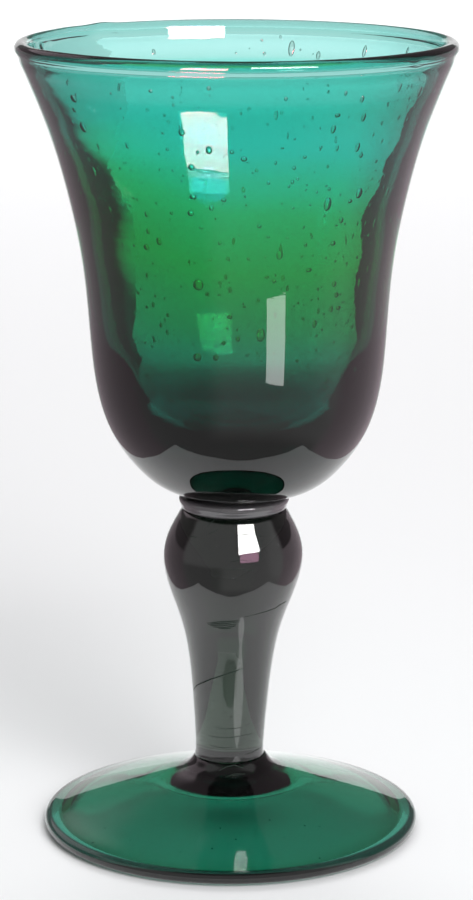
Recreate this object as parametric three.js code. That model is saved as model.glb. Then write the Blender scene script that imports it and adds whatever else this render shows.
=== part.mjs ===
// A hand-blown drinking goblet in thick green glass: a flared bowl, a thin
// collar under it, a solid baluster stem with a knop, and a conical foot.
// Millimetres, +Z up. The origin is on the table, straight under the centre
// of the rim.
import * as THREE from 'three';

// ---------------------------------------------------------------- dimensions
const HEIGHT = 170.0;            // table to the top of the rim
const RIM_RADIUS = 46.0;         // outside of the fire-polished lip
const LIP_RADIUS = 1.5;          // the lip is a rounded bead about 3 mm thick
const WAIST_RADIUS = 31.45;      // outside of the bowl at the waist
const WAIST_Z = 110.0;
const BOWL_BASE_Z = 74.0;        // the bowl's underside, on the collar
const BOWL_BASE_RADIUS = 8.3;
const BOWL_FLOOR_Z = 84.6;       // inside bottom of the bowl, 10.6 mm of glass
const COLLAR_RADIUS = 11.8;      // the thin disc between bowl and stem
const COLLAR_EDGE_Z = 72.4;
const STEM_TOP_Z = 70.4;         // the stem's top face, under the collar
const STEM_TOP_RADIUS = 10.9;
const KNOP_RADIUS = 14.95;       // fattest place of the baluster
const KNOP_Z = 60.0;
const STEM_MIN_RADIUS = 7.36;    // thinnest place, just above the foot
const STEM_MIN_Z = 17.8;
const STEM_BASE_Z = 15.2;        // the stem's foot, on the top of the foot
const STEM_BASE_RADIUS = 7.55;
const FOOT_RADIUS = 40.55;       // outside of the foot's rounded edge
const FOOT_EDGE_Z = 1.35;        // half the thickness of that edge
const REST_OUTER_RADIUS = 39.2;  // the flat ring that the goblet stands on
const REST_INNER_RADIUS = 36.4;
const PONTIL_RADIUS = 4.9;       // scar left under the foot

// The pieces were joined hot and by eye, so the axis isn't quite straight:
// the bowl leans a little and the stem and the foot sit to its left.
const BOWL_LEAN = 0.42 / 78.0;   // sideways shift per millimetre below the rim
const STEM_SHIFT_TOP = -0.60;    // of the stem's axis at STEM_TOP_Z
const STEM_SHIFT_BASE = -1.62;   // of the stem's axis at STEM_BASE_Z
const COLLAR_SHIFT = -0.60;
const FOOT_SHIFT = -1.38;

const BOWL_SEGMENTS = 52;
const FOOT_SEGMENTS = 52;
const STEM_SEGMENTS = 36;

// ------------------------------------------------------------------ materials
const glass = (color) => new THREE.MeshStandardMaterial({
  color, roughness: 0.05, metalness: 0.0, transparent: true, opacity: 0.6,
  side: THREE.DoubleSide,
});
const bowlGlass = glass(0x2a8c6a);
const collarGlass = glass(0x3c4644);
const stemGlass = glass(0x4a5c54);
const footGlass = glass(0x236b50);

// ------------------------------------------------------------------- geometry
// A turned piece from a profile of [radius, height] points, with its axis on
// Z, moved sideways by shift(z) at each height.
function turned(name, profile, segments, material, shift) {
  const points = profile.map(([r, z]) => new THREE.Vector2(r, z));
  const geometry = new THREE.LatheGeometry(points, segments);
  const p = geometry.attributes.position;
  for (let i = 0; i < p.count; i++) {
    const x = p.getX(i), y = p.getY(i), z = p.getZ(i);
    p.setXYZ(i, x + shift(y), -z, y);
  }
  geometry.computeVertexNormals();
  const mesh = new THREE.Mesh(geometry, material);
  mesh.name = name;
  return mesh;
}

// Points along an arc of a circle in the profile plane, angles in degrees.
function arc(r0, z0, radius, from, to, steps) {
  const out = [];
  for (let i = 0; i <= steps; i++) {
    const a = THREE.MathUtils.degToRad(from + (to - from) * i / steps);
    out.push([r0 + radius * Math.cos(a), z0 + radius * Math.sin(a)]);
  }
  return out;
}

// ----------------------------------------------------------------------- bowl
// The wall is 2.5 mm thick in the flare and grows to 7 mm above the floor.
const lipCentre = [RIM_RADIUS - LIP_RADIUS, HEIGHT - LIP_RADIUS];
const bowlProfile = [
  [0, BOWL_BASE_Z], [BOWL_BASE_RADIUS, BOWL_BASE_Z],
  [10.6, 74.12], [13.0, 74.5], [15.0, 75.1], [17.1, 76.05], [18.65, 77.0],
  [20.9, 78.75], [22.6, 80.75], [24.25, 83.0], [25.7, 85.05], [26.87, 87.0],
  [27.85, 89.1], [28.85, 92.0], [29.65, 95.0], [30.4, 99.0], [30.95, 103.6],
  [WAIST_RADIUS, WAIST_Z], [31.95, 116.0], [32.52, 122.0], [33.2, 127.0],
  [34.34, 133.0], [35.75, 139.0], [37.28, 145.0], [38.85, 150.1],
  [40.6, 155.0], [42.4, 159.6], [43.9, 163.2], [45.1, 166.1],
  ...arc(lipCentre[0], lipCentre[1], LIP_RADIUS, -22, 152, 9),
  [42.96, 168.5], [42.88, 167.6], [42.52, 166.3], [41.6, 163.8],
  [40.14, 160.0], [38.1, 155.0], [36.32, 150.0], [34.62, 145.0],
  [33.05, 140.0], [31.55, 135.0], [30.4, 130.0], [29.6, 125.0],
  [28.9, 120.0], [28.33, 115.0], [27.77, 110.0], [27.22, 107.0],
  [26.35, 104.0], [25.3, 101.0], [24.08, 98.0], [22.59, 95.0],
  [20.7, 92.3], [18.4, 89.9], [15.4, 87.6], [11.4, 85.9], [7.0, 85.0],
  [3.5, 84.7], [0, BOWL_FLOOR_Z],
];
const bowl = turned('bowl', bowlProfile, BOWL_SEGMENTS, bowlGlass,
  (z) => BOWL_LEAN * (HEIGHT - z));

// --------------------------------------------------------------------- collar
// A thin, slightly dished disc, hollowed under its upper face and tapering to
// the top of the stem.
const collarProfile = [
  [0, STEM_TOP_Z], [STEM_TOP_RADIUS, STEM_TOP_Z], [11.2, 70.65],
  [11.42, 71.2], [11.7, 71.9], [COLLAR_RADIUS, COLLAR_EDGE_Z],
  [11.72, 72.85], [11.3, 73.15], [10.2, 73.4], [9.0, 73.68],
  [BOWL_BASE_RADIUS, BOWL_BASE_Z], [0, BOWL_BASE_Z],
];
const collar = turned('collar', collarProfile, STEM_SEGMENTS, collarGlass,
  () => COLLAR_SHIFT);

// ----------------------------------------------------------------------- stem
const stemProfile = [
  [0, STEM_BASE_Z], [STEM_BASE_RADIUS, STEM_BASE_Z], [7.42, 16.0],
  [STEM_MIN_RADIUS, STEM_MIN_Z], [7.57, 21.0], [7.91, 25.0], [8.22, 29.0],
  [8.56, 33.0], [9.06, 37.0], [9.74, 41.0], [10.46, 44.0], [11.39, 47.0],
  [12.17, 49.0], [13.0, 51.0], [13.7, 53.0], [14.25, 55.0], [14.68, 57.0],
  [14.91, 58.7], [KNOP_RADIUS, KNOP_Z], [14.9, 61.4], [14.65, 63.0],
  [14.08, 65.0], [13.54, 66.0], [13.0, 67.0], [12.44, 68.0], [11.95, 69.0],
  [11.55, 69.75], [11.2, 70.2], [STEM_TOP_RADIUS, STEM_TOP_Z],
  [0, STEM_TOP_Z],
];
const stemLean = (STEM_SHIFT_TOP - STEM_SHIFT_BASE) / (STEM_TOP_Z - STEM_BASE_Z);
const stem = turned('stem', stemProfile, STEM_SEGMENTS, stemGlass,
  (z) => STEM_SHIFT_BASE + stemLean * (z - STEM_BASE_Z));

// ----------------------------------------------------------------------- foot
// A shallow cone with a thickened round edge. It is hollow underneath, with a
// rough pontil scar in the middle, and stands on a narrow flat ring.
const footProfile = [
  [0, 9.1], [2.0, 8.9], [2.6, 8.3], [3.6, 7.9], [PONTIL_RADIUS, 8.1],
  [5.4, 8.7], [7.0, 8.6], [12.0, 7.7], [20.0, 5.6], [30.0, 2.6], [34.0, 1.2],
  [35.8, 0.3], [REST_INNER_RADIUS, 0], [REST_OUTER_RADIUS, 0],
  ...arc(FOOT_RADIUS - FOOT_EDGE_Z, FOOT_EDGE_Z, FOOT_EDGE_Z, -64, 78, 6),
  [38.6, 2.92], [35.0, 4.12], [30.0, 5.78], [25.0, 7.4], [20.0, 9.0],
  [14.0, 11.0], [11.0, 12.15], [9.4, 13.1], [8.4, 14.2], [7.9, 14.9],
  [STEM_BASE_RADIUS, STEM_BASE_Z], [0, STEM_BASE_Z],
];
const foot = turned('foot', footProfile, FOOT_SEGMENTS, footGlass,
  () => FOOT_SHIFT);

// --------------------------------------------------------------------- goblet
const goblet = new THREE.Group();
goblet.add(bowl, collar, stem, foot);

export default goblet;
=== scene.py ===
import math

import bpy
import numpy as np
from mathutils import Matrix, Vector


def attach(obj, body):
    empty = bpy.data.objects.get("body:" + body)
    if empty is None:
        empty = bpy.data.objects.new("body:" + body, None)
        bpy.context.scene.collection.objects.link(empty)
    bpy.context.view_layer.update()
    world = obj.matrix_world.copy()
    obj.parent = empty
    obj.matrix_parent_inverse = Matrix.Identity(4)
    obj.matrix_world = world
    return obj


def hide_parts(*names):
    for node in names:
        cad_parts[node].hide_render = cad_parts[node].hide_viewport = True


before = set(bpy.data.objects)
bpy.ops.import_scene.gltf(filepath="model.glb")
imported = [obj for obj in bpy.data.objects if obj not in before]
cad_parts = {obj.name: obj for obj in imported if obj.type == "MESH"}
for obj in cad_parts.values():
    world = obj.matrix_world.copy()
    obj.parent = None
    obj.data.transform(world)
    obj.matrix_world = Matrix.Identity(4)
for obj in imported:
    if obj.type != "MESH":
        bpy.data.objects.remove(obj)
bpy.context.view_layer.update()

MM = 0.001
RNG = np.random.default_rng(4711)

# ------------------------------------------------------------------ the view
# The photograph's camera: 636.4 mm in front of the rim's centre, 231.55 mm
# above the table, looking 13.15 degrees down, focal length 3071 px.
CAM_D, CAM_H, CAM_PITCH, CAM_F, CAM_X = 636.4, 231.55, 13.15, 3071.1, -0.08

cam_data = bpy.data.cameras.new("camera")
cam_data.sensor_width = 36.0
cam_data.lens = CAM_F * 36.0 / 900.0
cam_data.clip_start = 0.01
cam_data.clip_end = 60.0
camera = bpy.data.objects.new("camera", cam_data)
camera.location = (CAM_X * MM, -CAM_D * MM, CAM_H * MM)
camera.rotation_euler = (math.radians(90 - CAM_PITCH), 0, 0)
bpy.context.scene.collection.objects.link(camera)
bpy.context.scene.camera = camera


def pixel_ray(u, v):
    """Origin and direction, in mm, of the photograph's ray through a pixel."""
    th = math.radians(CAM_PITCH)
    dx, dy = (u - 236.5) / CAM_F, (v - 450.0) / CAM_F
    fwd = np.array([0, math.cos(th), -math.sin(th)])
    up = np.array([0, math.sin(th), math.cos(th)])
    d = fwd + dx * np.array([1.0, 0, 0]) - dy * up
    return np.array([CAM_X, -CAM_D, CAM_H]), d / np.linalg.norm(d)


# ------------------------------------------------------------ turned profiles
# Radius, height in mm. The outside follows the silhouette; a list is one
# smooth curve, and the curves of a piece meet at its sharp edges.
def lip_arc(r0, z0, rad, a0, a1, n):
    return [(r0 + rad * math.cos(math.radians(a0 + (a1 - a0) * i / n)),
             z0 + rad * math.sin(math.radians(a0 + (a1 - a0) * i / n))) for i in range(n + 1)]


BOWL_OUT = [(8.3, 74.0), (11.0, 74.1), (13.6, 74.55), (15.6, 75.22), (17.3, 76.1), (19.86, 78.0),
            (21.95, 80.1), (24.33, 83), (26.29, 86), (27.76, 89), (28.85, 92), (29.87, 96),
            (30.55, 100), (31.09, 105), (31.47, 110), (31.83, 115), (32.28, 120), (32.91, 125),
            (33.76, 130), (34.8, 135), (35.98, 140), (37.3, 145), (38.82, 150), (40.6, 155),
            (42.59, 160), (44.26, 164), (45.0, 165.9), (45.2, 166.75)]
LIP = [(45.2, 166.75)] + lip_arc(44.5, 168.5, 1.5, -50, 152, 12)

# Height and thickness of the wall, square to the axis.
WALL = [(163.8, 2.58), (160.0, 2.45), (155.0, 2.5), (150.0, 2.5), (145.0, 2.68), (140.0, 2.93), (135.0, 3.25),
        (130.0, 3.36), (125.0, 3.31), (120.0, 3.38), (115.0, 3.5), (110.0, 3.7), (107.0, 4.02), (104.0, 4.65),
        (101.0, 5.37), (98.0, 6.15), (95.0, 7.05)]
OUT_AT = {163.8: 44.18, 107.0: 31.24, 104.0: 31.0, 101.0: 30.67, 98.0: 30.23, 95.0: 29.64}
OUT_AT.update({z: r for r, z in BOWL_OUT})
BOWL_IN = [(42.96, 168.5), (42.90, 168.0), (42.87, 167.55), (42.78, 167.15), (42.52, 166.3)] + [(OUT_AT[z] - t, z) for z, t in WALL] + \
          [(20.7, 92.3), (18.4, 89.9), (15.4, 87.6), (11.4, 85.9), (7.0, 85.0), (3.5, 84.7), (0.0, 84.6)]
BOWL = [[(0.0, 74.0), (8.3, 74.0)], BOWL_OUT, LIP + BOWL_IN]

COLLAR = [[(0.0, 70.4), (10.9, 70.4)],
          [(10.9, 70.4), (11.2, 70.62), (11.42, 71.2), (11.68, 71.9), (11.8, 72.4), (11.72, 72.85),
           (11.3, 73.15), (10.2, 73.4), (9.0, 73.68), (8.3, 74.0)],
          [(8.3, 74.0), (0.0, 74.0)]]

STEM = [[(0.0, 15.2), (7.55, 15.2)],
        [(7.55, 15.2), (7.40, 16.0), (7.37, 17), (7.42, 18.5), (7.53, 20.5), (7.73, 23.5), (7.97, 26.5),
         (8.27, 30), (8.68, 34), (9.22, 38), (9.97, 42), (10.76, 45), (11.76, 48), (12.88, 51),
         (13.9, 54), (14.66, 57), (14.95, 60), (14.78, 62), (14.3, 64), (13.52, 66), (12.5, 68),
         (11.95, 69), (11.42, 69.9), (10.9, 70.4)],
        [(10.9, 70.4), (0.0, 70.4)]]

FOOT = [[(0.0, 9.1), (2.0, 8.9), (2.6, 8.3), (3.6, 7.9), (4.9, 8.1), (5.4, 8.7), (7.0, 8.6), (12.0, 7.7),
         (20.0, 5.6), (30.0, 2.6), (34.0, 1.2), (35.8, 0.3), (36.4, 0.0)],
        [(36.4, 0.0), (39.2, 0.0)],
        [(39.2, 0.0)] + lip_arc(39.2, 1.35, 1.35, -70, 78, 8) +
        [(38.6, 2.92), (35.0, 4.12), (30.0, 5.78), (25.0, 7.4), (20.0, 9.0), (14.0, 11.0), (11.0, 12.15),
         (9.4, 13.1), (8.4, 14.2), (7.9, 14.85), (7.55, 15.2)],
        [(7.55, 15.2), (0.0, 15.2)]]


def spline(points, step):
    """Points every step mm on a C2 curve through points (chord-length parameter, natural ends)."""
    p = np.array(points, float)
    if len(p) == 2:
        n = max(1, int(round(np.linalg.norm(p[1] - p[0]) / step)))
        return p[0] + (p[1] - p[0]) * np.linspace(0, 1, n + 1)[:, None]
    d = np.sqrt(np.linalg.norm(np.diff(p, axis=0), axis=1))
    d = d ** 2
    t = np.concatenate([[0], np.cumsum(d)])
    n = len(p)
    a = np.zeros((n, n)); b = np.zeros((n, 2))
    a[0, 0] = a[-1, -1] = 1
    for i in range(1, n - 1):
        a[i, i - 1] = d[i - 1]; a[i, i] = 2 * (d[i - 1] + d[i]); a[i, i + 1] = d[i]
        b[i] = 6 * ((p[i + 1] - p[i]) / d[i] - (p[i] - p[i - 1]) / d[i - 1])
    m = np.linalg.solve(a, b)
    out = []
    k = max(2, int(round(t[-1] / step)))
    for s in np.linspace(0, t[-1], k + 1):
        i = min(n - 2, int(np.searchsorted(t, s, side="right")) - 1)
        i = max(i, 0)
        h = d[i]; u = (t[i + 1] - s); w = s - t[i]
        out.append(m[i] * u ** 3 / (6 * h) + m[i + 1] * w ** 3 / (6 * h)
                   + (p[i] / h - m[i] * h / 6) * u + (p[i + 1] / h - m[i + 1] * h / 6) * w)
    return np.array(out)


def profile(curves, step):
    out = [np.array([curves[0][0]], float)]
    for c in curves:
        out.append(spline(c, step)[1:])
    p = np.concatenate(out)
    p[0, 0] = 0.0
    p[-1, 0] = 0.0
    p[:, 0] = np.maximum(p[:, 0], 0.0)
    return p


def bowl_shift(z):
    return 0.42 / 78.0 * (170.0 - z)


def stem_shift(z):
    return -1.62 + (1.62 - 0.60) * (z - 15.2) / 55.2


COLLAR_SHIFT, FOOT_SHIFT = -0.60, -1.38


# ---------------------------------------------------------------- mesh tools
def revolve(curves, step, segments, shift, wobble=None):
    """Vertices (mm) and faces of a closed turned body, faces outwards."""
    p = profile(curves, step)
    n = len(p)
    ang = np.arange(segments) * 2 * math.pi / segments
    ca, sa = np.cos(ang), np.sin(ang)
    verts = [np.array([[shift(p[0, 1]), 0, p[0, 1]]])]
    for r, z in p[1:-1]:
        rr = np.full(segments, r); zz = np.full(segments, z)
        if wobble is not None:
            dr, dz = wobble(ang, r, z)
            rr = rr + dr; zz = zz + dz
        verts.append(np.stack([rr * ca + shift(z), rr * sa, zz], 1))
    verts.append(np.array([[shift(p[-1, 1]), 0, p[-1, 1]]]))
    verts = np.concatenate(verts)
    faces = []
    nxt = (np.arange(segments) + 1) % segments
    ring0 = 1
    for j in range(segments):
        faces.append((0, ring0 + nxt[j], ring0 + j))
    for i in range(n - 3):
        a = 1 + i * segments; b = a + segments
        for j in range(segments):
            k = nxt[j]
            faces.append((a + j, a + k, b + k, b + j))
    last = 1 + (n - 3) * segments
    end = len(verts) - 1
    for j in range(segments):
        faces.append((end, last + j, last + nxt[j]))
    return verts, faces


def ico(level):
    """Unit icosphere as arrays."""
    t = (1 + 5 ** 0.5) / 2
    v = [(-1, t, 0), (1, t, 0), (-1, -t, 0), (1, -t, 0), (0, -1, t), (0, 1, t), (0, -1, -t), (0, 1, -t),
         (t, 0, -1), (t, 0, 1), (-t, 0, -1), (-t, 0, 1)]
    f = [(0, 11, 5), (0, 5, 1), (0, 1, 7), (0, 7, 10), (0, 10, 11), (1, 5, 9), (5, 11, 4), (11, 10, 2),
         (10, 7, 6), (7, 1, 8), (3, 9, 4), (3, 4, 2), (3, 2, 6), (3, 6, 8), (3, 8, 9), (4, 9, 5), (2, 4, 11),
         (6, 2, 10), (8, 6, 7), (9, 8, 1)]
    v = [np.array(x, float) / np.linalg.norm(x) for x in v]
    for _ in range(level):
        mid = {}
        g = []

        def half(a, b):
            key = (min(a, b), max(a, b))
            if key not in mid:
                m = v[a] + v[b]
                v.append(m / np.linalg.norm(m))
                mid[key] = len(v) - 1
            return mid[key]
        for a, b, c in f:
            ab, bc, ca_ = half(a, b), half(b, c), half(c, a)
            g += [(a, ab, ca_), (b, bc, ab), (c, ca_, bc), (ab, bc, ca_)]
        f = g
    return np.array(v), f


ICO = {lv: ico(lv) for lv in (1, 2)}


def add_voids(verts, faces, voids):
    """Joins hollow ellipsoids to a body: centre, along, across, radii; faces turned into the hollow."""
    vs, fs = [verts], list(faces)
    base = len(verts)
    for c, axes, radii, lv in voids:
        v, f = ICO[lv]
        pts = np.array(c) + (v * np.array(radii)) @ np.array(axes)
        vs.append(pts)
        fs += [(base + a, base + c2, base + b) for a, b, c2 in f]
        base += len(v)
    return np.concatenate(vs), fs


def make_object(name, verts, faces, material):
    me = bpy.data.meshes.new(name)
    me.from_pydata([tuple(x) for x in (verts * MM)], [], [tuple(int(i) for i in f) for f in faces])
    me.validate()
    me.polygons.foreach_set("use_smooth", [True] * len(me.polygons))
    me.materials.append(material)
    me.update()
    ob = bpy.data.objects.new(name, me)
    bpy.context.scene.collection.objects.link(ob)
    return ob


# The blown wall isn't quite true: faint level rings and slow waves, a bump on
# the rim at the back left, folds inside it at the left and a tool mark in front.
WAVES = [(int(RNG.integers(0, 14)), RNG.uniform(0.7, 3.2), RNG.uniform(0, 6.28), RNG.uniform(0.3, 1.0))
         for _ in range(26)]


def bell(x, w):
    return np.exp(-(x / w) ** 2)


def around(ang, deg):
    return (np.degrees(ang) - deg + 180.0) % 360.0 - 180.0


def bowl_wobble(ang, r, z):
    inner = 1.0 if r < in_r(min(max(z, 83.2), 168.0)) + 0.3 else 0.0
    dr = np.zeros_like(ang)
    for k, q, ph, am in WAVES:
        dr = dr + am * np.cos(k * ang + q * z + ph + 1.7 * inner)
    dr = dr * 0.0008 * min(1.0, max(0.0, (z - 76.0) / 6.0)) * min(1.0, r / 10.0)
    dz = np.zeros_like(ang)
    if z > 164.0:
        top_ = min(1.0, (z - 164.0) / 4.0)
        dz = dz + 0.36 * bell(around(ang, 131.0), 4.5) * top_ + 0.10 * bell(around(ang, 144.0), 6.0) * top_
        dz = dz - 0.12 * bell(around(ang, 200.0), 9.0) * top_ + 0.06 * np.cos(3 * ang + 0.6) * top_
        fold = bell(around(ang, 167.0), 2.6) + 0.8 * bell(around(ang, 174.0), 2.0) + 0.35 * bell(around(ang, 159.0), 1.6)
        dr = dr - 0.42 * inner * fold * bell(z - 167.0, 0.9)
        dr = dr + (1 - inner) * 0.22 * bell(around(ang, -39.0), 1.6) * bell(z - 168.2, 0.8)
    return dr, dz


# ------------------------------------------------------------------ materials
def nodes_of(name):
    mat = bpy.data.materials.new(name)
    mat.use_nodes = True
    nt = mat.node_tree
    bsdf = nt.nodes["Principled BSDF"]
    return mat, nt, bsdf


def glass(name, absorb, stops=None, ior=1.5, level=0.5, ripple=0.007, rough=0.0, rim_shade=None, lean=0.0,
          core_shade=None):
    """Transparent glass. absorb is what it takes per mm of red, green and blue light; stops tint it by height:
    (height in mm, colour), from the bottom up. rim_shade is painted shade, a darker band round the outside: the axis'
    x, the radii in mm where it begins and is full, and its colour. core_shade is painted shade of the same kind, a
    dark disc
    round the axis: its radii from outside in, and its colour. lean is how much lower the stops lie per mm to the left."""
    mat, nt, bsdf = nodes_of(name)
    bsdf.inputs["Base Color"].default_value = (1, 1, 1, 1)
    bsdf.inputs["Transmission Weight"].default_value = 1.0
    bsdf.inputs["Roughness"].default_value = rough
    bsdf.inputs["IOR"].default_value = ior
    bsdf.inputs["Specular IOR Level"].default_value = level
    vol = nt.nodes.new("ShaderNodeVolumeAbsorption")
    k = max(absorb)
    vol.inputs["Color"].default_value = tuple(1 - a / k for a in absorb) + (1,)
    vol.inputs["Density"].default_value = k * 1000.0
    nt.links.new(vol.outputs["Volume"], nt.nodes["Material Output"].inputs["Volume"])
    geo = nt.nodes.new("ShaderNodeTexCoord")
    if stops:
        sep = nt.nodes.new("ShaderNodeSeparateXYZ")
        nt.links.new(geo.outputs["Object"], sep.inputs[0])
        lo, hi = stops[0][0] * MM, stops[-1][0] * MM
        mr = nt.nodes.new("ShaderNodeMapRange")
        nt.links.new(sep.outputs["Z"], mr.inputs["Value"])
        if lean:
            def calc(op, a, b):
                n_ = nt.nodes.new("ShaderNodeMath")
                n_.operation = op
                for i, x in enumerate((a, b)):
                    if isinstance(x, float):
                        n_.inputs[i].default_value = x
                    else:
                        nt.links.new(x, n_.inputs[i])
                return n_.outputs[0]

            def fade(a, b):
                n_ = nt.nodes.new("ShaderNodeMapRange")
                n_.interpolation_type = "SMOOTHSTEP"
                n_.inputs["From Min"].default_value = min(a, b) * MM
                n_.inputs["From Max"].default_value = max(a, b) * MM
                n_.inputs["To Min"].default_value = 0.0 if a < b else 1.0
                n_.inputs["To Max"].default_value = 1.0 if a < b else 0.0
                nt.links.new(sep.outputs["Z"], n_.inputs["Value"])
                return n_.outputs["Result"]
            left = calc("MINIMUM", calc("ADD", sep.outputs["X"], 3.0 * MM), 0.0)
            drop = calc("MULTIPLY", calc("MULTIPLY", left, lean), calc("MULTIPLY", fade(100, 116), fade(158, 146)))
            nt.links.new(calc("ADD", sep.outputs["Z"], drop), mr.inputs["Value"])
        mr.inputs["From Min"].default_value = lo
        mr.inputs["From Max"].default_value = hi
        ramp = nt.nodes.new("ShaderNodeValToRGB")
        nt.links.new(mr.outputs["Result"], ramp.inputs["Fac"])
        el = ramp.color_ramp.elements
        while len(el) > 1:
            el.remove(el[-1])
        el[0].position = 0.0
        el[0].color = (*stops[0][1], 1)
        for z, c in stops[1:]:
            e = el.new((z * MM - lo) / (hi - lo))
            e.color = (*c, 1)
        nt.links.new(ramp.outputs["Color"], bsdf.inputs["Base Color"])
    # painted shade: a darker band round the outside
    if rim_shade:
        off = nt.nodes.new("ShaderNodeVectorMath")
        off.operation = "MULTIPLY_ADD"
        off.inputs[1].default_value = (1, 1, 0)
        off.inputs[2].default_value = (-rim_shade[0] * MM, 0, 0)
        nt.links.new(geo.outputs["Object"], off.inputs[0])
        dist = nt.nodes.new("ShaderNodeVectorMath")
        dist.operation = "LENGTH"
        nt.links.new(off.outputs["Vector"], dist.inputs[0])
        band = nt.nodes.new("ShaderNodeMapRange")
        band.interpolation_type = "SMOOTHSTEP"
        band.inputs["From Min"].default_value = rim_shade[1] * MM
        band.inputs["From Max"].default_value = rim_shade[2] * MM
        nt.links.new(dist.outputs["Value"], band.inputs["Value"])
        mix = nt.nodes.new("ShaderNodeMix")
        mix.data_type = "RGBA"
        mix.blend_type = "MIX"
        nt.links.new(band.outputs["Result"], mix.inputs["Factor"])
        nt.links.new(ramp.outputs["Color"], mix.inputs[6])
        mix.inputs[7].default_value = (*rim_shade[3], 1)
        nt.links.new(mix.outputs[2], bsdf.inputs["Base Color"])
    # painted shade: a dark disc round the axis
    if core_shade:
        core = nt.nodes.new("ShaderNodeMapRange")
        core.interpolation_type = "SMOOTHSTEP"
        core.inputs["From Min"].default_value = core_shade[1] * MM
        core.inputs["From Max"].default_value = core_shade[0] * MM
        core.inputs["To Min"].default_value = 1.0
        core.inputs["To Max"].default_value = 0.0
        nt.links.new(dist.outputs["Value"], core.inputs["Value"])
        mid = nt.nodes.new("ShaderNodeMix")
        mid.data_type = "RGBA"
        mid.blend_type = "MIX"
        nt.links.new(core.outputs["Result"], mid.inputs["Factor"])
        nt.links.new(mix.outputs[2], mid.inputs[6])
        mid.inputs[7].default_value = (*core_shade[2], 1)
        nt.links.new(mid.outputs[2], bsdf.inputs["Base Color"])
    # fine level rings from the blowing, and a slow waviness
    mp = nt.nodes.new("ShaderNodeMapping")
    mp.inputs["Scale"].default_value = (190, 190, 720)
    nt.links.new(geo.outputs["Object"], mp.inputs["Vector"])
    n1 = nt.nodes.new("ShaderNodeTexNoise")
    n1.inputs["Scale"].default_value = 1.0
    n1.inputs["Detail"].default_value = 2.0
    nt.links.new(mp.outputs["Vector"], n1.inputs["Vector"])
    n2 = nt.nodes.new("ShaderNodeTexNoise")
    n2.inputs["Scale"].default_value = 120.0
    n2.inputs["Detail"].default_value = 1.0
    nt.links.new(geo.outputs["Object"], n2.inputs["Vector"])
    add = nt.nodes.new("ShaderNodeMath")
    add.operation = "MULTIPLY_ADD"
    add.inputs[1].default_value = 0.6
    nt.links.new(n2.outputs["Fac"], add.inputs[0])
    nt.links.new(n1.outputs["Fac"], add.inputs[2])
    bump = nt.nodes.new("ShaderNodeBump")
    bump.inputs["Strength"].default_value = 1.0
    bump.inputs["Distance"].default_value = ripple * MM
    nt.links.new(add.outputs["Value"], bump.inputs["Height"])
    nt.links.new(bump.outputs["Normal"], bsdf.inputs["Normal"])
    return mat


GREEN = (0.38, 0.10, 0.125)
# painted shade: below about 90 mm the stops make the bowl near black, standing in for the dark its thick lower part
# shows by its bending of light and the shade under it; higher up they set the glass's tint by height.
BOWL_TINT_AND_SHADE_STOPS = [(74, (0.02, 0.008, 0.010)), (80, (0.02, 0.024, 0.030)), (86, (0.04, 0.22, 0.27)), (92, (0.09, 0.66, 0.70)),
              (98, (0.12, 0.68, 0.68)), (104, (0.14, 0.67, 0.46)), (112, (0.14, 0.67, 0.34)),
              (119, (0.14, 0.70, 0.31)), (126, (0.13, 0.79, 0.32)), (134, (0.12, 0.88, 0.56)),
              (142, (0.13, 0.92, 0.83)), (146, (0.18, 0.92, 0.86)), (154, (0.20, 0.87, 0.80)),
              (159, (0.20, 0.82, 0.74)), (160.5, (0.30, 0.84, 0.78)), (162, (0.85, 0.90, 0.88)),
              (164, (1, 0.97, 0.97)), (170, (1, 1, 1))]
bowl_glass = glass("bowl_glass", GREEN, stops=BOWL_TINT_AND_SHADE_STOPS, ior=1.6, lean=0.42)
collar_glass = glass("collar_glass", (0.28, 0.21, 0.23), ior=1.7)
collar_bsdf = next(n for n in collar_glass.node_tree.nodes if n.type == "BSDF_PRINCIPLED")
collar_bsdf.inputs["Transmission Weight"].default_value = 0.88    # cloudy with fine bubbles
collar_bsdf.inputs["Base Color"].default_value = (0.62, 0.58, 0.62, 1)
stem_glass = glass("stem_glass", (0.27, 0.205, 0.245), stops=[(15, (0.65, 0.65, 0.65)), (22, (0.75, 0.75, 0.75)), (28, (1, 1, 1)),
                                                             (42, (1, 1, 1)), (50, (0.92, 0.84, 0.90)), (70.4, (0.9, 0.8, 0.88))], ior=1.72)
# painted shade: the foot is darker below 2.8 mm and in a band at its rim, standing in for the dark edge that
# refraction gives its bead, and darker in a disc round the axis, standing in for the dark stem base that its underside
# mirrors
foot_glass = glass("foot_glass", (0.60, 0.155, 0.235), stops=[(0, (0.75, 0.80, 0.76)), (1.3, (0.9, 0.95, 0.9)), (2.8, (1, 1, 1)),
                                                           (16, (1, 1, 1))], ior=1.6, rim_shade=(-1.38, 38.7, 39.3, (0.035, 0.025, 0.028)),
                   core_shade=(11.2, 9.6, (0.06, 0.04, 0.045)))

# dark threads: real streaks in the stem and foot, and lines of painted shade across the knop's highlight
streak_and_painted_line_dark, nt, bsdf = nodes_of("streak_and_painted_line_dark")
bsdf.inputs["Roughness"].default_value = 0.45
noise = nt.nodes.new("ShaderNodeTexNoise")
noise.inputs["Scale"].default_value = 600.0
ramp = nt.nodes.new("ShaderNodeValToRGB")
ramp.color_ramp.elements[0].color = (0.004, 0.009, 0.006, 1)
ramp.color_ramp.elements[1].color = (0.020, 0.034, 0.026, 1)
nt.links.new(noise.outputs["Fac"], ramp.inputs["Fac"])
nt.links.new(ramp.outputs["Color"], bsdf.inputs["Base Color"])

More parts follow.
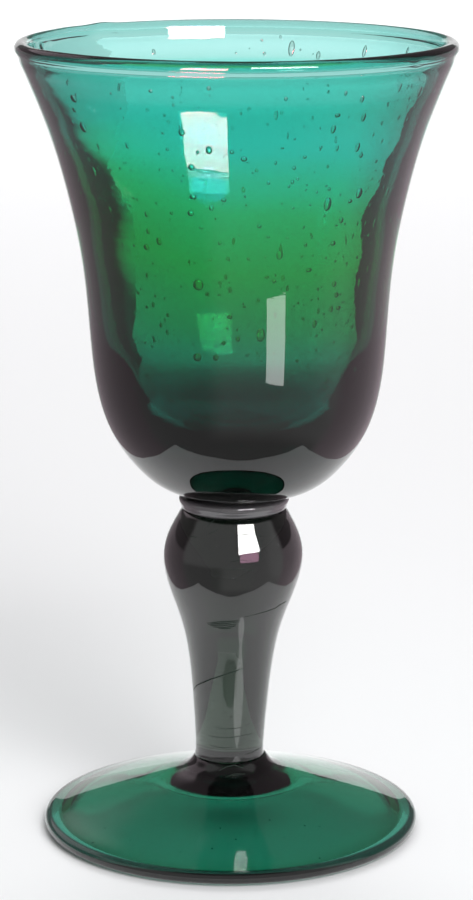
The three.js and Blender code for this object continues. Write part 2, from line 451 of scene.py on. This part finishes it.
# ---------------------------------------------------------------------- seeds
# Hollows in the front wall: where each one shows in the picture, and its width
# and height there, in pixels.
SEEDS = [(124, 78, 5, 9), (398, 86, 4, 11), (209, 87, 5, 5), (152, 90, 5, 4), (417, 90, 7, 13), (344, 92, 4, 6),
         (48, 94, 4, 12), (173, 96, 3, 4), (76, 97, 10, 9), (285, 98, 4, 5), (360, 98, 5, 8), (174, 104, 3, 4),
         (404, 106, 3, 3), (412, 106, 5, 6), (76, 108, 6, 6), (241, 112, 3, 4), (165, 114, 3, 4),
         (276, 114, 4, 11), (337, 114, 7, 5), (162, 115, 5, 9), (362, 116, 6, 10), (396, 116, 4, 6),
         (405, 118, 7, 6), (419, 120, 5, 7), (76, 121, 6, 7), (86, 126, 10, 12), (332, 128, 6, 10),
         (182, 131, 7, 9), (164, 132, 4, 3), (372, 133, 3, 5), (294, 138, 3, 3), (379, 140, 3, 6),
         (128, 144, 4, 8), (320, 146, 4, 4), (356, 146, 6, 11), (282, 147, 4, 3), (336, 147, 4, 7),
         (168, 148, 4, 4), (209, 149, 7, 9), (198, 151, 4, 5), (232, 151, 5, 5), (390, 152, 3, 5),
         (355, 153, 3, 13), (360, 154, 5, 6), (304, 156, 5, 4), (92, 158, 3, 6), (244, 158, 7, 6),
         (374, 160, 4, 4), (275, 162, 3, 5), (192, 166, 7, 7), (294, 167, 4, 5), (112, 168, 4, 4),
         (380, 169, 4, 5), (96, 170, 7, 12), (382, 174, 4, 6), (376, 180, 3, 4), (292, 181, 4, 5),
         (268, 182, 4, 4), (114, 187, 3, 5), (328, 188, 4, 4), (384, 191, 6, 11), (356, 192, 9, 12),
         (194, 196, 8, 6), (136, 197, 4, 3), (375, 198, 3, 3), (224, 199, 6, 5), (348, 200, 6, 5),
         (326, 203, 9, 15), (309, 204, 3, 3), (368, 204, 5, 5), (212, 207, 5, 7), (292, 207, 3, 3),
         (112, 208, 5, 8), (172, 212, 4, 4), (191, 212, 7, 7), (149, 213, 5, 7), (340, 219, 6, 7),
         (354, 222, 3, 6), (362, 222, 4, 6), (371, 222, 5, 12), (334, 224, 4, 3), (259, 225, 5, 5),
         (303, 226, 3, 4), (202, 227, 4, 3), (151, 230, 5, 7), (364, 234, 5, 6), (349, 235, 3, 7),
         (268, 236, 4, 3), (286, 237, 3, 3), (374, 237, 3, 3), (160, 240, 6, 9), (358, 240, 3, 7),
         (220, 242, 4, 5), (330, 242, 7, 6), (137, 244, 3, 4), (304, 244, 4, 5), (149, 246, 7, 7),
         (279, 254, 7, 10), (300, 255, 4, 3), (355, 256, 3, 5), (228, 258, 4, 4), (248, 258, 3, 4),
         (210, 259, 4, 3), (332, 260, 3, 4), (345, 262, 3, 3), (364, 268, 4, 8), (307, 269, 7, 5),
         (150, 274, 4, 6), (266, 276, 5, 4), (282, 277, 4, 7), (273, 280, 5, 4), (220, 282, 4, 4),
         (357, 282, 7, 11), (332, 283, 6, 7), (199, 284, 11, 12), (317, 288, 3, 4), (140, 292, 4, 4),
         (108, 293, 3, 3), (220, 294, 4, 3), (334, 294, 6, 6), (317, 298, 3, 4), (309, 299, 3, 3),
         (258, 300, 4, 4), (296, 302, 3, 3), (148, 306, 4, 4), (244, 306, 4, 3), (335, 307, 7, 5),
         (328, 308, 5, 8), (170, 314, 4, 5), (352, 314, 4, 8), (230, 316, 6, 5), (302, 318, 4, 4),
         (312, 323, 5, 9), (164, 324, 4, 6), (333, 324, 3, 4), (348, 326, 4, 4), (227, 328, 3, 3),
         (320, 329, 3, 3), (260, 334, 9, 15), (315, 335, 3, 3), (128, 337, 4, 3), (238, 338, 5, 6),
         (156, 340, 4, 4), (331, 341, 3, 3), (224, 342, 5, 5), (314, 349, 3, 3), (273, 352, 3, 4),
         (199, 356, 9, 9), (336, 356, 3, 4), (216, 357, 6, 7), (296, 360, 4, 4), (149, 374, 5, 4),
         (227, 375, 3, 3), (322, 379, 6, 7), (320, 386, 8, 6), (299, 394, 3, 4), (228, 410, 4, 3),
         (325, 419, 3, 3), (260, 432, 4, 3), (230, 441, 3, 3), (234, 468, 4, 4), (240, 491, 4, 3)]
# The same in the back wall above the front rim.
FAR_SEEDS = [(292, 49, 7, 17), (319, 56, 5, 9), (366, 52, 5, 13), (410, 52, 4, 9), (281, 36, 3, 4), (262, 41, 3, 3)]


OUT_PTS = spline(BOWL_OUT, 0.4)
IN_PTS = spline(BOWL_IN, 0.4)[::-1]


def out_r(z):
    return np.interp(z, OUT_PTS[:, 1], OUT_PTS[:, 0])


def in_r(z):
    return np.interp(z, IN_PTS[:, 1], IN_PTS[:, 0])


def crossings(u, v, radius, shift, near=540.0, far=720.0):
    """Where the ray of a pixel goes through the turned surface radius(z): first and last place."""
    o, d = pixel_ray(u, v)
    t = np.arange(near, far, 0.05)
    p = o + t[:, None] * d
    g = np.hypot(p[:, 0] - shift(p[:, 2]), p[:, 1]) - radius(p[:, 2])
    k = np.nonzero(np.diff(np.sign(g)))[0]
    return (p[k[0]], p[k[-1]]) if len(k) else None


def wall_axes(p, shift, radius):
    """Outwards, round and up along the surface at a place in a turned wall."""
    a = math.atan2(p[1], p[0] - shift(p[2]))
    slope = (radius(p[2] + 0.5) - radius(p[2] - 0.5))
    up = np.array([slope * math.cos(a), slope * math.sin(a), 1.0])
    up /= np.linalg.norm(up)
    rnd = np.array([-math.sin(a), math.cos(a), 0.0])
    return [np.cross(rnd, up), rnd, up]


def mid_r(z):
    return (out_r(z) + in_r(z)) / 2


class Hollows:
    """Hollows that keep clear of each other."""

    def __init__(self):
        self.items = []

    def add(self, c, axes, radii, level):
        big = max(radii)
        for c2, _, r2, _ in self.items:
            if np.linalg.norm(np.array(c) - c2) < big + max(r2) + 0.06:
                return False
        self.items.append((np.array(c), axes, radii, level))
        return True


def wall_seed(box, p, wide, tall, depth=0.5):
    z = float(np.clip(p[2], 90.0, 166.2))
    t = out_r(z) - in_r(z)
    rad = max(0.05, min(0.17 * wide, t / 2 - 0.28, 0.5))
    a = math.atan2(p[1], p[0] - bowl_shift(z))
    lo, hi = rad + 0.2, t - rad - 0.2
    r = out_r(z) - (lo + (hi - lo) * depth)
    c = np.array([bowl_shift(z) + r * math.cos(a), r * math.sin(a), z])
    return box.add(c, wall_axes(c, bowl_shift, mid_r), (rad, wide, tall), 2 if tall > 0.55 else 1)


hollows = Hollows()
for u, v_, w, h in SEEDS:
    hit = crossings(u, v_, mid_r, bowl_shift)
    if hit is None or not 84 < hit[0][2] < 166:
        continue
    wall_seed(hollows, hit[0], max(0.2, (w - 0.4) / 10.2), max(0.22, (h - 0.4) / 10.2), 0.25 + 0.5 * RNG.random())
for u, v_, w, h in FAR_SEEDS:
    hit = crossings(u, v_, mid_r, bowl_shift)
    if hit is not None:
        wall_seed(hollows, hit[1], max(0.2, (w - 0.4) / 9.2), max(0.22, (h - 0.4) / 9.2))
for _ in range(150):
    u, v_ = (RNG.normal(326, 26), RNG.uniform(170, 420)) if RNG.random() < 0.6 else (RNG.uniform(105, 385), RNG.uniform(90, 455))
    hit = crossings(u, v_, mid_r, bowl_shift)
    s_ = 0.11 + 0.15 * RNG.random() ** 2
    if hit is not None and 86 < hit[0][2] < 164:
        wall_seed(hollows, hit[0], s_, s_ * (1.0 + 0.8 * RNG.random()), RNG.random())
for side, count in ((1, 80), (-1, 80)):
    for _ in range(count):
        z = 162.0 - 62.0 * RNG.random() ** 1.3
        a = math.radians(-90 + side * RNG.uniform(52, 118))
        s_ = 0.15 + 0.25 * RNG.random() ** 2
        p = np.array([bowl_shift(z) + mid_r(z) * math.cos(a), mid_r(z) * math.sin(a), z])
        wall_seed(hollows, p, s_, s_ * (1.0 + 1.2 * RNG.random()), RNG.random())
for _ in range(170):
    z = 88.0 + 76.0 * RNG.random() ** 0.9
    a = math.radians(RNG.uniform(20, 160))
    s_ = 0.14 + 0.30 * RNG.random() ** 2.5
    p = np.array([bowl_shift(z) + mid_r(z) * math.cos(a), mid_r(z) * math.sin(a), z])
    wall_seed(hollows, p, s_, s_ * (1.0 + 1.1 * RNG.random()), RNG.random())

# -------------------------------------------- streaks inside the solid glass, and dark lines of painted shade across the knop's highlight
STEM_OUT = spline(STEM[1], 0.3)


def stem_r(z):
    return np.interp(z, STEM_OUT[:, 1], STEM_OUT[:, 0])


def thread(pixels, radius, shift, inset, thick):
    """The line of a thin dark thread under a turned surface, through places of the picture."""
    path = []
    for u, v_ in pixels:
        hit = crossings(u, v_, lambda z: radius(z) - inset, shift)
        if hit is not None:
            path.append(hit[0])
    path = np.array(path)
    if len(path) < 2:
        return None
    t = np.concatenate([[0], np.cumsum(np.linalg.norm(np.diff(path, axis=0), axis=1))])
    n = max(6, int(t[-1] / 0.5))
    q = np.linspace(0, t[-1], n + 1)
    mid = np.stack([np.interp(q, t, path[:, k]) for k in range(3)], 1)
    # the chord of a curved line lies deeper, so each place goes back to its depth
    for i in range(len(mid)):
        c = shift(mid[i, 2]); a = math.atan2(mid[i, 1], mid[i, 0] - c)
        r = radius(mid[i, 2]) - inset
        mid[i, 0] = c + r * math.cos(a); mid[i, 1] = r * math.sin(a)
    return mid, thick


def add_threads(verts, faces, threads):
    """Joins thin tubes, closed at both ends, faces outwards."""
    vs, fs = [np.array(verts, float).reshape(-1, 3)], list(faces)
    base = len(verts)
    for item in threads:
        if item is None:
            continue
        mid, thick = item
        n = len(mid)
        ring = []
        for i in range(n):
            d = mid[min(i + 1, n - 1)] - mid[max(i - 1, 0)]
            d /= np.linalg.norm(d)
            a = np.cross(d, [0.0, 0.0, 1.0]); a /= np.linalg.norm(a)
            b = np.cross(d, a)
            w = thick * (0.25 + 0.75 * math.sin(math.pi * (i + 0.5) / n) ** 0.6)
            for k in range(8):
                an = 2 * math.pi * k / 8
                ring.append(mid[i] + w * (math.cos(an) * a + math.sin(an) * b))
        vs.append(np.array(ring)); vs.append(np.array([mid[0], mid[-1]]))
        for i in range(n - 1):
            for k in range(8):
                k2 = (k + 1) % 8
                p0, p1 = base + i * 8 + k, base + i * 8 + k2
                fs.append((p0, p0 + 8, p1 + 8, p1))
        c0 = base + n * 8
        for k in range(8):
            k2 = (k + 1) % 8
            fs.append((c0, base + k, base + k2))
            fs.append((c0 + 1, base + (n - 1) * 8 + k2, base + (n - 1) * 8 + k))
        base += n * 8 + 2
    return np.concatenate(vs), fs


ON = 0.02


def foot_r(z):
    pts = FOOT[2][10:]
    return np.interp(z, [q[1] for q in pts], [q[0] for q in pts])


stem_threads_and_painted_lines = [
    thread([(288, 600), (281, 604), (275, 608), (264, 612), (253, 615), (244, 617)], stem_r, stem_shift, ON, 0.12),
    thread([(243, 668), (236, 671), (226, 674), (219, 676.5), (211, 679), (204, 682), (197, 685), (193.5, 690)],
           stem_r, stem_shift, ON, 0.16),
    thread([(262, 746), (254, 751), (244, 755)], stem_r, stem_shift, ON, 0.09),
    thread([(207, 623), (222, 621.5), (239, 620.5)], stem_r, stem_shift, ON, 0.16),
    thread([(208, 624.2), (222, 623.3), (238, 622.3)], stem_r, stem_shift, ON, 0.16),
    thread([(210, 625.6), (222, 625.2), (237, 624.2)], stem_r, stem_shift, ON, 0.16),
    thread([(213, 627), (224, 627.1), (236, 626.1)], stem_r, stem_shift, ON, 0.16),
    thread([(218, 628.6), (232, 628)], stem_r, stem_shift, ON, 0.14),
    thread([(205, 528), (212, 522), (219, 512), (228, 506)], stem_r, stem_shift, ON, 0.07),
    thread([(208, 534), (216, 531), (224, 523)], stem_r, stem_shift, ON, 0.06),
    thread([(190, 536), (193.5, 537), (197, 537.5)], stem_r, stem_shift, ON, 0.09),
    # painted shade: the next four threads draw the dark lines across the knop's mirrored highlight and the plum
    # reflection below it; they are not streaks in the glass
    thread([(236, 535.5), (246, 534.5), (262, 536)], stem_r, stem_shift, ON, 0.08),
    thread([(238, 543), (249, 542.5), (263, 544)], stem_r, stem_shift, ON, 0.05),
    thread([(230, 562), (240, 560), (254, 561)], stem_r, stem_shift, ON, 0.05),
    thread([(226, 570), (240, 569), (256, 571)], stem_r, stem_shift, ON, 0.05),
    thread([(212, 726), (226, 729), (243, 727)], stem_r, stem_shift, ON, 0.06),
    thread([(208, 735), (222, 738), (240, 736), (252, 733)], stem_r, stem_shift, ON, 0.08),
    thread([(210, 745), (222, 748), (236, 747)], stem_r, stem_shift, ON, 0.08),
    thread([(219, 771), (226, 767), (234, 765), (243, 768)], foot_r, lambda z: FOOT_SHIFT, ON, 0.12),
    thread([(226, 777), (235, 774), (245, 774)], foot_r, lambda z: FOOT_SHIFT, ON, 0.10),
]
stem_hollows = Hollows()
for u, v_, w, h in [(222, 624, 26, 4), (220, 629, 12, 3), (237, 617, 3, 3), (228, 650, 3, 4), (246, 641, 3, 6),
                    (241, 660, 3, 7), (249, 690, 3, 5), (240, 706, 3, 8), (231, 716, 3, 4), (246, 724, 3, 5),
                    (214, 700, 3, 3), (217, 547, 3, 3), (200, 560, 3, 3), (262, 567, 3, 3), (277, 545, 3, 4),
                    (233, 578, 4, 3), (215, 590, 3, 3), (259, 596, 3, 3), (186, 548, 3, 3), (206, 578, 3, 3)]:
    hit = crossings(u, v_, lambda z: stem_r(z) - 1.0, stem_shift)
    if hit is not None:
        wide, tall = max(0.15, (w - 1.2) / 10.2), max(0.15, (h - 1.2) / 10.2)
        stem_hollows.add(hit[0], wall_axes(hit[0], stem_shift, stem_r), (min(0.3 * wide, 0.5) + 0.05, wide, tall), 1)
foot_hollows = Hollows()
for _ in range(60):
    a = 2 * math.pi * RNG.random()
    r = 12.0 + 25.0 * math.sqrt(RNG.random())
    z = np.interp(r, [12.0, 20.0, 30.0, 37.5], [11.8, 9.0, 5.78, 3.3])
    zz = z - 0.9 - 0.9 * RNG.random()
    s_ = 0.10 + 0.14 * RNG.random() ** 2
    foot_hollows.add(np.array([FOOT_SHIFT + r * math.cos(a), r * math.sin(a), zz]),
                     [np.array([math.cos(a), math.sin(a), 0]), np.array([-math.sin(a), math.cos(a), 0]),
                      np.array([0, 0, 1.0])], (s_ * (1 + RNG.random()), s_, 0.6 * s_), 1)

# --------------------------------------------------------------------- pieces
SEG = 208
v, f = revolve(BOWL, 0.85, SEG, bowl_shift, bowl_wobble)
v, f = add_voids(v, f, hollows.items)
bowl = make_object("bowl_blown", v, f, bowl_glass)
v, f = revolve(COLLAR, 0.35, 192, lambda z: COLLAR_SHIFT)
collar = make_object("collar_disc", v, f, collar_glass)
v, f = revolve(STEM, 0.5, 192, stem_shift)
v, f = add_voids(v, f, stem_hollows.items)
stem = make_object("stem_baluster", v, f, stem_glass)
v, f = add_threads([], [], stem_threads_and_painted_lines)
streaks_and_lines = make_object("stem_streaks", v, f, streak_and_painted_line_dark)
v, f = revolve(FOOT, 0.5, SEG, lambda z: FOOT_SHIFT)
v, f = add_voids(v, f, foot_hollows.items)
foot = make_object("foot_spun", v, f, foot_glass)

for ob, node, slot in ((bowl, "bowl", "bowl_glass"), (collar, "collar", "stem_glass"),
                       (stem, "stem", "stem_glass"), (streaks_and_lines, "stem", "stem_glass"), (foot, "foot", "foot_glass")):
    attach(ob, "root")
    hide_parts(node)

# ------------------------------------------------------------- floor and light
def flat(name, pts, z, color, rough=0.6, glow=0.0):
    me = bpy.data.meshes.new(name)
    me.from_pydata([(x, y, z) for x, y in pts], [], [tuple(range(len(pts)))])
    mat, nt, bsdf = nodes_of(name)
    bsdf.inputs["Base Color"].default_value = (*color, 1)
    bsdf.inputs["Roughness"].default_value = rough
    bsdf.inputs["Specular IOR Level"].default_value = 0.1
    bsdf.inputs["Emission Color"].default_value = (1, 1, 1, 1)
    bsdf.inputs["Emission Strength"].default_value = glow
    me.materials.append(mat)
    ob = bpy.data.objects.new(name, me)
    bpy.context.scene.collection.objects.link(ob)
    return ob


WHITE = (0.86, 0.858, 0.87)
# The wide floor is what the camera and the lamps see. The two sheets are what
# the glass mirrors and what shows through it: a white sheet under and behind
# the goblet, and dark room beside it.
wide = flat("floor", [(-12, -12), (12, -12), (12, 12), (-12, 12)], -0.0004, WHITE)
wide.visible_glossy = False
wide.visible_transmission = False
# painted light: far off to the sides and in front, where no lamp reaches, the floor glows so that it stays pale
nt = wide.data.materials[0].node_tree
w_at = nt.nodes.new("ShaderNodeTexCoord")
w_xyz = nt.nodes.new("ShaderNodeSeparateXYZ")
nt.links.new(w_at.outputs["Object"], w_xyz.inputs[0])
w_side = nt.nodes.new("ShaderNodeMath")
w_side.operation = "ABSOLUTE"
nt.links.new(w_xyz.outputs["X"], w_side.inputs[0])
w_near = nt.nodes.new("ShaderNodeMath")
w_near.operation = "MULTIPLY"
w_near.inputs[1].default_value = -1.0
nt.links.new(w_xyz.outputs["Y"], w_near.inputs[0])
w_far = nt.nodes.new("ShaderNodeMath")
w_far.operation = "MAXIMUM"
nt.links.new(w_side.outputs[0], w_far.inputs[0])
nt.links.new(w_near.outputs[0], w_far.inputs[1])
w_painted_light = nt.nodes.new("ShaderNodeMapRange")
w_painted_light.interpolation_type = "SMOOTHSTEP"
w_painted_light.inputs["From Min"].default_value = 0.5
w_painted_light.inputs["From Max"].default_value = 2.6
w_painted_light.inputs["To Max"].default_value = 0.6
nt.links.new(w_far.outputs[0], w_painted_light.inputs["Value"])
nt.links.new(w_painted_light.outputs["Result"], next(n for n in nt.nodes if n.type == "BSDF_PRINCIPLED").inputs["Emission Strength"])
mirrored = flat("sheet_mirrored", [(-0.09, -0.05), (-0.03, -0.062), (0.03, -0.062), (0.09, -0.05), (0.09, 0.40),
                                   (0.19, 1.0), (0.6, 3.2), (-0.6, 3.2), (-0.19, 1.0), (-0.09, 0.40)], 0.0, WHITE,
                glow=0.28)
mirrored.visible_camera = False
mirrored.visible_diffuse = False
mirrored.visible_transmission = False
mirrored.visible_shadow = False
through = flat("sheet_through", [(-0.075, -0.06), (0.075, -0.06), (0.075, 0.08), (0.078, 0.16), (0.09, 0.24),
                                 (0.108, 0.33), (0.128, 0.42), (0.142, 0.55), (0.235, 0.86), (0.28, 1.0), (0.80, 3.2),
                                 (-0.22, 3.2), (-0.103, 1.1), (-0.100, 0.95), (-0.104, 0.80), (-0.106, 0.63), (-0.098, 0.50), (-0.090, 0.42),
                                 (-0.074, 0.33), (-0.064, 0.24), (-0.062, 0.16), (-0.075, 0.08)], -0.0002, WHITE)
through.visible_camera = False
through.visible_diffuse = False
through.visible_glossy = False
through.visible_shadow = False


def area(name, loc, target, w, h, watts, color=(1, 1, 1), glossy=True, transmission=True):
    ld = bpy.data.lights.new(name, "AREA")
    ld.shape = "RECTANGLE"
    ld.size, ld.size_y = w, h
    ld.energy = watts
    ld.color = color
    ob = bpy.data.objects.new(name, ld)
    ob.location = loc
    d = Vector(target) - Vector(loc)
    ob.rotation_euler = d.to_track_quat("-Z", "Y").to_euler()
    ob.visible_camera = False
    ob.visible_glossy = glossy
    ob.visible_transmission = transmission
    bpy.context.scene.collection.objects.link(ob)
    return ob


def softbox(name, z0, z1, radiance, color=(1, 1, 1), half=0.31, az=27.0, shape="RECTANGLE", dist=1.0, once=False,
            direct=None, roll=0.0):
    """A level strip of the tall softbox in front on the right, 1 m from the goblet, as the glass mirrors it. direct is
    its colour for a ray that hasn't been through any glass."""
    x, y = dist * math.sin(math.radians(az)), -dist * math.cos(math.radians(az))
    area_m2 = 2 * half * (z1 - z0) * (1.0 if shape == "RECTANGLE" else math.pi / 4)
    ob = area(name, (x, y, (z0 + z1) / 2), (0, 0, (z0 + z1) / 2), 2 * half, z1 - z0, radiance * math.pi * area_m2, color)
    ob.data.shape = shape
    ob.visible_diffuse = False
    ob.data.use_nodes = True
    nt = ob.data.node_tree
    em = nt.nodes["Emission"]
    lp_ = nt.nodes.new("ShaderNodeLightPath")
    m = nt.nodes.new("ShaderNodeMath")
    m.operation = "LESS_THAN"
    m.inputs[1].default_value = 0.5
    nt.links.new(lp_.outputs["Diffuse Depth"], m.inputs[0])
    k = nt.nodes.new("ShaderNodeMath")
    k.operation = "MAXIMUM"
    k.inputs[1].default_value = 3.0 / radiance
    nt.links.new(m.outputs[0], k.inputs[0])
    nt.links.new(k.outputs[0], em.inputs["Strength"])
    ob.rotation_euler.rotate_axis("Z", math.radians(roll))
    if direct:
        been = nt.nodes.new("ShaderNodeMath")
        been.operation = "GREATER_THAN"
        been.inputs[1].default_value = 0.5
        nt.links.new(lp_.outputs["Transmission Depth"], been.inputs[0])
        tint = nt.nodes.new("ShaderNodeMix")
        tint.data_type = "RGBA"
        tint.inputs[6].default_value = (*direct, 1)
        tint.inputs[7].default_value = (*color, 1)
        nt.links.new(been.outputs[0], tint.inputs["Factor"])
        nt.links.new(tint.outputs[2], em.inputs["Color"])
        ob.data.color = (1, 1, 1)
    if once:
        # it is too high up to be mirrored twice
        o = nt.nodes.new("ShaderNodeMath")
        o.operation = "LESS_THAN"
        o.inputs[1].default_value = 1.5
        nt.links.new(lp_.outputs["Glossy Depth"], o.inputs[0])
        q = nt.nodes.new("ShaderNodeMath")
        q.operation = "MULTIPLY"
        nt.links.new(k.outputs[0], q.inputs[0])
        nt.links.new(o.outputs[0], q.inputs[1])
        nt.links.new(q.outputs[0], em.inputs["Strength"])
    return ob


key_white = softbox("key_white", 0.37, 0.775, 150, color=(1.0, 0.076, 0.094), az=24.5, direct=(0.1, 0.1, 0.1), roll=-3.0)
key_blue = softbox("key_blue", 0.25, 0.62, 12, color=(0.7, 0.17, 0.6), half=0.27, az=24.5, shape="ELLIPSE", dist=1.02, direct=(0.2, 0.2, 0.2))
key_low = softbox("key_low", -0.300, -0.135, 4.8, half=0.125, az=28.4)
key_high = softbox("key_high", 0.70, 1.24, 22, half=0.34, az=27.5, once=True)
key_knop = softbox("key_knop", 0.38, 0.70, 22, half=0.34, az=27.5)
key_plum = softbox("key_plum", 0.10, 0.38, 1.8, color=(1.0, 0.5, 0.75), half=0.28, once=True)

# a small strip close to the stem, for its soft upright highlight
glint = area("glint", (0.0080, -0.0246, 0.0187), (-0.0014, 0.0, 0.0187), 0.0115, 0.0172, 1.1 * math.pi ** 2 / 4 * 0.0115 * 0.0172,
             transmission=False)
glint.data.shape = "ELLIPSE"
glint.visible_diffuse = False


def lights_only(lamps, things):
    group = bpy.data.collections.new("lit_by_" + lamps[0].name)
    for t in things:
        group.objects.link(t)
    for lamp in lamps:
        lamp.light_linking.receiver_collection = group


lights_only([key_white, key_blue, key_low], [bowl])
lights_only([key_high, key_knop, key_plum], [stem, collar])
lights_only([glint], [stem])
key = area("key", (0.454, -0.891, 0.60), (0, 0, 0.1), 0.62, 1.3, 15.5, glossy=False, transmission=False)
top = area("top", (0.1, 1.1, 2.2), (0.1, 1.1, 0), 2.6, 2.0, 9, glossy=False, transmission=False)
far = area("far", (0.0, 2.4, 2.2), (0, 2.4, 0), 3.0, 2.0, 76, glossy=False, transmission=False)

world = bpy.data.worlds.new("studio")
bpy.context.scene.world = world
world.use_nodes = True
world.cycles.sampling_method = "NONE"
wn = world.node_tree
for n_ in list(wn.nodes):
    wn.nodes.remove(n_)
w_out = wn.nodes.new("ShaderNodeOutputWorld")
w_bg = wn.nodes.new("ShaderNodeBackground")
wn.links.new(w_bg.outputs[0], w_out.inputs[0])
w_tc = wn.nodes.new("ShaderNodeTexCoord")
w_sep = wn.nodes.new("ShaderNodeSeparateXYZ")
wn.links.new(w_tc.outputs["Generated"], w_sep.inputs[0])


def wmath(op, a, b=None, c=None):
    n_ = wn.nodes.new("ShaderNodeMath")
    n_.operation = op
    for i, x in enumerate((a, b, c)):
        if x is None:
            continue
        if isinstance(x, (int, float)):
            n_.inputs[i].default_value = x
        else:
            wn.links.new(x, n_.inputs[i])
    return n_.outputs[0]


def step(x, lo, hi):
    """0 below lo, 1 above hi; hi may be the smaller one."""
    n_ = wn.nodes.new("ShaderNodeMapRange")
    n_.interpolation_type = "SMOOTHSTEP"
    wn.links.new(x, n_.inputs["Value"])
    if lo < hi:
        n_.inputs["From Min"].default_value = lo
        n_.inputs["From Max"].default_value = hi
    else:
        n_.inputs["From Min"].default_value = hi
        n_.inputs["From Max"].default_value = lo
        n_.inputs["To Min"].default_value = 1.0
        n_.inputs["To Max"].default_value = 0.0
    return n_.outputs["Result"]


def lerp(a, b, t):
    d = b - a if isinstance(a, (int, float)) and isinstance(b, (int, float)) else wmath("SUBTRACT", b, a)
    return wmath("MULTIPLY_ADD", t, d, a)


wx, wy, wz = w_sep.outputs
lp = wn.nodes.new("ShaderNodeLightPath")
behind = step(wy, -0.1, 0.1)
# what shows through the glass: a white backdrop straight behind, up to 7.4 degrees, in a dark room
back_low = wmath("MULTIPLY", step(wy, 0.955, 0.975), step(wz, 0.132, 0.126))
back_high = wmath("MULTIPLY", step(wy, 0.86, 0.90), wmath("MULTIPLY", step(wz, 0.16, 0.20), step(wz, 0.46, 0.42)))
seen_through = lerp(0.02, 0.95, wmath("MAXIMUM", back_low, back_high))
# the room is light on the other sides
seen_through = lerp(seen_through, 0.15, step(wy, 0.76, 0.70))
seen_through = lerp(seen_through, 0.8, step(wy, 0.30, 0.15))
lit = wmath("GREATER_THAN", lp.outputs["Diffuse Depth"], 0.5)
seen_through = lerp(seen_through, 1.0, lit)
# what the glass mirrors: a grey room, lighter low in front, dark above, the white backdrop behind
front = lerp(0.60, 0.38, wmath("MULTIPLY", step(wx, -0.15, -0.45), step(wz, -0.05, -0.20)))
front = lerp(front, 0.75, wmath("MULTIPLY", step(wx, 0.75, 0.95), step(wz, -0.6, -0.4)))
front = lerp(front, 0.36, step(wz, -0.62, -0.80))
front = lerp(front, 0.2, step(wz, 0.75, 0.85))
rear = lerp(lerp(0.42, 0.66, step(wx, -0.3, 0.3)), 0.18, step(wz, 0.10, 0.15))
rear = lerp(rear, lerp(0.95, 1.25, step(wx, 0.0, 0.15)), wmath("MULTIPLY", step(wy, 0.93, 0.95), step(wz, 0.192, 0.180)))
panel = wmath("MULTIPLY", wmath("MULTIPLY", step(wx, -0.25, -0.35), step(wx, -0.85, -0.75)),
              wmath("MULTIPLY", step(wz, 0.30, 0.36), step(wz, 0.76, 0.70)))
rear = lerp(rear, 0.75, panel)
mirror = lerp(front, rear, behind)
level = lerp(mirror, seen_through, lp.outputs["Is Transmission Ray"])
level = lerp(level, 0.26, lp.outputs["Is Diffuse Ray"])
level = lerp(level, 0.95, lp.outputs["Is Camera Ray"])
wn.links.new(level, w_bg.inputs["Strength"])
# a faint plum cast beside and behind, where the room is dark
plum = wmath("MULTIPLY", wmath("MULTIPLY", behind, step(wy, 0.93, 0.88)), wmath("SUBTRACT", 1.0, lp.outputs["Is Diffuse Ray"]))
plum = wmath("MULTIPLY", plum, wmath("SUBTRACT", 1.0, lp.outputs["Is Transmission Ray"]))
plum = wmath("MULTIPLY", plum, wmath("SUBTRACT", 1.0, lp.outputs["Is Camera Ray"]))
w_mix = wn.nodes.new("ShaderNodeMix")
w_mix.data_type = "RGBA"
wn.links.new(plum, w_mix.inputs["Factor"])
w_mix.inputs[6].default_value = (1, 1, 1, 1)
w_mix.inputs[7].default_value = (1.0, 0.84, 0.92, 1)
wn.links.new(w_mix.outputs[2], w_bg.inputs["Color"])

# --------------------------------------------------------------------- render
sc = bpy.context.scene
sc.view_settings.view_transform = "Standard"
sc.view_settings.look = "None"
sc.cycles.max_bounces = 32
sc.cycles.transmission_bounces = 32
sc.cycles.glossy_bounces = 16
sc.cycles.diffuse_bounces = 4
sc.cycles.volume_bounces = 0
sc.cycles.transparent_max_bounces = 32
sc.cycles.caustics_reflective = True
sc.cycles.caustics_refractive = True
sc.cycles.blur_glossy = 0.3
sc.cycles.sample_clamp_indirect = 80.0
